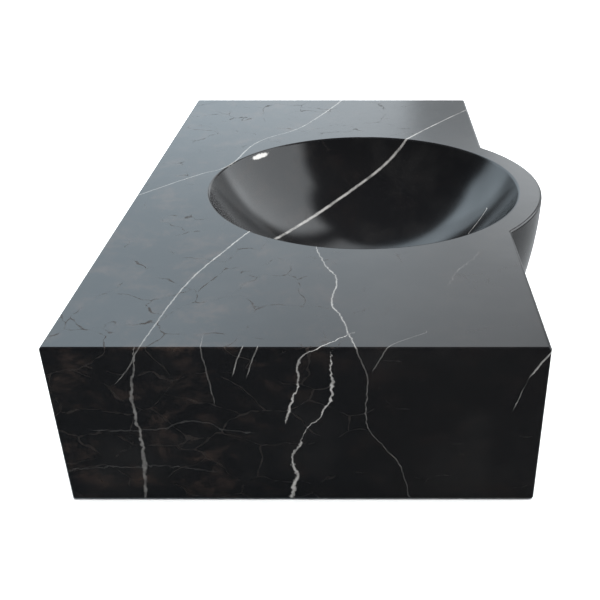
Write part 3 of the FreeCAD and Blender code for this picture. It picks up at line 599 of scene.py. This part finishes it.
chipped = calc(tree, "MULTIPLY", chip, on_arm)
edge = calc(tree, "MULTIPLY", calc(tree, "MULTIPLY", beside, above), chipped)
tone = mix(tree, dust, (0.018, 0.018, 0.019), (0.04, 0.039, 0.038))
tone = mix(tree, edge, tone, (0.065, 0.065, 0.067))
gloss = calc(tree, "MULTIPLY_ADD", dust, 0.18, 0.4)
gloss = calc(tree, "MULTIPLY_ADD", edge, -0.12, gloss)
surface(tree, shader, tone, gloss, peel, 0.00012)
dress(paint, "left_bracket", "right_bracket")

# The weld beads run in the corners between plate, arm and gusset, as overlapping half-round ripples.
ARM_BOTTOM = ARM_TOP - 2 * ARM_HALF[1]
GUSSET_HALF = 2.5
GUSSET_FOOT = 36.0
GUSSET_TIP = 164.0
BEAD = 3.6
RIPPLE = 1.7


def bead(start, end, side_a, side_b, steps_per_ripple=6, around=8, fade=2.5, sunk=0.3):
    """A weld in a corner: at each place along the run, a bulging quarter-round from side_a to side_b about
    the corner, scalloped along its length and shrinking to a point at both ends."""
    start, end, side_a, side_b = (np.array(item, float) for item in (start, end, side_a, side_b))
    length = np.linalg.norm(end - start)
    along = np.linspace(0.0, 1.0, int(length / RIPPLE) * steps_per_ripple + 1)[:, None]
    scallop = np.abs(np.sin(np.pi * along * length / RIPPLE))
    taper = np.clip(np.minimum(along, 1 - along) * length / fade, 0.0, 1.0) ** 0.5
    turn = np.linspace(-0.08, 1.08, around) * np.pi / 2
    size = BEAD * taper * (0.82 + 0.1 * scallop) * (1 + 0.04 * np.sin(2 * turn))
    ring = size[..., None] * (np.cos(turn)[:, None] * side_a + np.sin(turn)[:, None] * side_b)
    root = -sunk * taper[..., None] * (side_a + side_b)
    ring = np.concatenate([ring, root], axis=1)
    return (start + along[..., None] * (end - start) + ring) / MM


def welds(x):
    """All the beads of the bracket whose middle is at x."""
    down, out = (0, 0, -1), (0, -1, 0)
    runs = []
    for side in (-1, 1):
        arm_side, gusset_side, outward = x + side * ARM_HALF[0], x + side * GUSSET_HALF, (side, 0, 0)
        under = (gusset_side + side * BEAD, PLATE_FACE, ARM_BOTTOM)
        corner = (arm_side, PLATE_FACE, ARM_BOTTOM)
        root = (gusset_side, PLATE_FACE, ARM_BOTTOM)
        runs += [
            bead((arm_side, PLATE_FACE, ARM_TOP), corner, outward, out),
            bead(corner, under, down, out),
            bead(root, (gusset_side, PLATE_FACE, GUSSET_FOOT), outward, out),
            bead(root, (gusset_side, GUSSET_TIP, ARM_BOTTOM), outward, down),
        ]
    skins = [tube(run) for run in runs]
    counts = np.cumsum([0] + [len(points) for points, _ in skins])
    faces = [faces + first for (_, faces), first in zip(skins, counts)]
    return np.concatenate([points for points, _ in skins]), np.concatenate(faces)


put("left_welds", *welds(-ARM_MIDDLE), paint, "basin", "bracket_paint")
put("right_welds", *welds(ARM_MIDDLE), paint, "basin", "bracket_paint")

# ---------------------------------------------------------------------------------------------------
# The arms' end caps: push-in plugs of black polythene that close the hollow arms. The moulded skin has a
# fine even spark grain, and the rim is scuffed a little paler.
black_plastic, tree, shader = finish("black_plastic", 0.5)
place = where(tree)[0]
spark = noise(tree, place, 1.2, 2.0, 0.55, 27.0)
scuff = ease(tree, noise(tree, place, 0.1, 5.0, 0.75, 99.0), 0.02, 0.25)
tone = mix(tree, scuff, (0.02, 0.02, 0.021), (0.055, 0.055, 0.057))
gloss = calc(tree, "MULTIPLY_ADD", scuff, 0.12, 0.48)
surface(tree, shader, tone, gloss, spark, 0.00006)
dress(black_plastic, "arm_end_caps")

# ---------------------------------------------------------------------------------------------------
# The floor: a pale, matt sheet just under the basin's base. It is seen through from below, so that the
# underside of the basin can be looked at.
FLOOR_HALF = 3.0
FLOOR_GAP = 0.0005
level = STONE_BOX[0][2] - FLOOR_GAP
corners = [(-FLOOR_HALF, -FLOOR_HALF, level), (FLOOR_HALF, -FLOOR_HALF, level)]
corners += [(FLOOR_HALF, FLOOR_HALF, level), (-FLOOR_HALF, FLOOR_HALF, level)]
floor_mesh = bpy.data.meshes.new("floor")
floor_mesh.from_pydata(corners, [], [(0, 1, 2, 3)])
floor = bpy.data.objects.new("floor", floor_mesh)
bpy.context.scene.collection.objects.link(floor)
floor_finish, tree, shader = finish("floor_paint", 0.9, 0.0, (0.93, 0.93, 0.93))
behind = add(tree, "NewGeometry").outputs["Backfacing"]
clear = add(tree, "BsdfTransparent").outputs[0]
either = add(tree, "MixShader", {0: behind, 1: shader.outputs[0], 2: clear})
tree.links.new(either.outputs[0], tree.nodes["Material Output"].inputs["Surface"])
floor_mesh.materials.append(floor_finish)
floor.visible_glossy = False

# ---------------------------------------------------------------------------------------------------
# The dome: an even, pale surround that closes the view on every side. It only shows to the camera, and
# takes no part in the lighting.
DOME_RADIUS = 8.0


def dome(radius, around=48, up=24):
    """A sphere seen from inside: radius times (cos a cos e, sin a cos e, sin e) over heading and height."""
    turn = np.arange(around) * 2 * np.pi / around
    rise = np.linspace(-np.pi / 2, np.pi / 2, up + 1)[:, None]
    level = np.sin(rise) * np.ones(around)
    return radius * np.stack([np.cos(rise) * np.cos(turn), np.cos(rise) * np.sin(turn), level], axis=-1)


points, faces = tube(dome(DOME_RADIUS))
dome_mesh = bpy.data.meshes.new("dome")
dome_mesh.from_pydata(points.tolist(), [], faces.tolist())
backcloth = bpy.data.materials.new("backcloth")
backcloth.use_nodes = True
backcloth.node_tree.nodes.clear()
pale = add(backcloth.node_tree, "Emission", {"Color": (1.0, 1.0, 1.0, 1.0), "Strength": 1.0}).outputs[0]
backcloth.node_tree.links.new(pale, add(backcloth.node_tree, "OutputMaterial").inputs[0])
dome_mesh.materials.append(backcloth)
surround = bpy.data.objects.new("dome", dome_mesh)
bpy.context.scene.collection.objects.link(surround)
surround.visible_diffuse = False
surround.visible_glossy = False
surround.visible_transmission = False
surround.visible_volume_scatter = False
surround.visible_shadow = False

# ---------------------------------------------------------------------------------------------------
# The light: a broad soft window on the user's side, and a wall of light beyond the far end with a dark
# doorway in it, both drawn by heading and height in degrees. The polished stone mirrors them.
WINDOW_LIGHT = 2.6
FILL_LIGHT = 0.7
SIDE_LIGHT = 0.9
ROOM_LIGHT = 0.04
world = bpy.data.worlds.new("studio")
bpy.context.scene.world = world
world.use_nodes = True
sky = world.node_tree
sky.nodes.clear()
way = add(sky, "SeparateXYZ", {0: add(sky, "TexCoord").outputs["Generated"]}).outputs
heading = calc(sky, "DEGREES", calc(sky, "ARCTAN2", way[1], way[0]))
height = calc(sky, "DEGREES", calc(sky, "ARCSINE", way[2]))
leaning = calc(sky, "MULTIPLY_ADD", height, -0.9, heading)
window = calc(sky, "MULTIPLY", within(sky, leaning, -152, -63, 12), within(sky, height, 12, 56, 8))
window = calc(sky, "MULTIPLY", window, ease(sky, heading, -38, -26, 1.0, 0.0))
fill = calc(sky, "MULTIPLY", within(sky, heading, -45, -14, 8), within(sky, height, -4, 20, 6))
beyond = calc(sky, "MULTIPLY", within(sky, heading, -12, 57, 10), ease(sky, height, 4, 17, 0.35, 1.0))
far_left = calc(sky, "MULTIPLY", ease(sky, heading, 4, 18), ease(sky, height, 22, 31, -0.15, 0.6))
beyond = calc(sky, "MULTIPLY", beyond, calc(sky, "ADD", ease(sky, heading, -14, 4, 1.38, 1.75), far_left))
side = calc(sky, "MULTIPLY", within(sky, heading, 41, 62, 6), ease(sky, height, 5, 11))
beyond = calc(sky, "MULTIPLY_ADD", side, SIDE_LIGHT, beyond)
slanting = calc(sky, "MULTIPLY_ADD", heading, 0.3, height)
beyond = calc(sky, "MULTIPLY", beyond, within(sky, slanting, -8, 47, 6))
beyond = calc(sky, "MULTIPLY_ADD", fill, FILL_LIGHT, beyond)
doorway = calc(sky, "MULTIPLY", within(sky, heading, -7.5, -3.5, 1.5), ease(sky, height, 17, 20, 0.62, 0.0))
beyond = calc(sky, "MULTIPLY", beyond, calc(sky, "SUBTRACT", 1.0, doorway))
below = calc(sky, "MULTIPLY", ease(sky, height, -12, 0, 1.0, 0.0), ease(sky, way[0], -0.3, 0.3, 0.05, 0.5))
glow = calc(sky, "MULTIPLY_ADD", window, WINDOW_LIGHT, beyond)
glow = calc(sky, "ADD", glow, calc(sky, "ADD", below, ROOM_LIGHT))
cool = mix(sky, ease(sky, heading, -15, 20), (0.92, 0.965, 1.0), (0.76, 0.9, 1.0))
backdrop = add(sky, "Background", {"Color": cool, "Strength": glow})
sky.links.new(backdrop.outputs[0], add(sky, "OutputWorld").inputs[0])

# A wide overhead lamp lights the floor evenly and is kept out of the stone's reflections.
LAMP_SIZE = 4.0
LAMP_POWER = 260.0
LAMP_HEIGHT = 3.0
lamp = bpy.data.lights.new("overhead", "AREA")
lamp.shape = "DISK"
lamp.size = LAMP_SIZE
lamp.energy = LAMP_POWER
overhead = bpy.data.objects.new("overhead", lamp)
overhead.location = (0.0, 0.0, LAMP_HEIGHT)
overhead.visible_glossy = False
bpy.context.scene.collection.objects.link(overhead)
bpy.context.scene.view_settings.view_transform = "Standard"

# ---------------------------------------------------------------------------------------------------
# The camera: it stands off the near end, above the deck, and looks down along the basin's length. The lens
# is shifted to frame the basin without turning the camera.
FOCAL = 50.84
PITCH = math.radians(30.8)
EYE = Vector((-0.897, -0.0314, 0.4835))
SHIFT = (-0.1162, 0.0665)
forward = Vector((math.cos(PITCH), 0, -math.sin(PITCH)))
right = Vector((0, -1, 0))
up = right.cross(forward)
lens = bpy.data.cameras.new("camera")
lens.sensor_width = 36
lens.lens = FOCAL
lens.shift_x, lens.shift_y = SHIFT
camera = bpy.data.objects.new("camera", lens)
bpy.context.scene.collection.objects.link(camera)
camera.matrix_world = Matrix.Translation(EYE) @ Matrix((right, up, -forward)).transposed().to_4x4()
bpy.context.scene.camera = camera
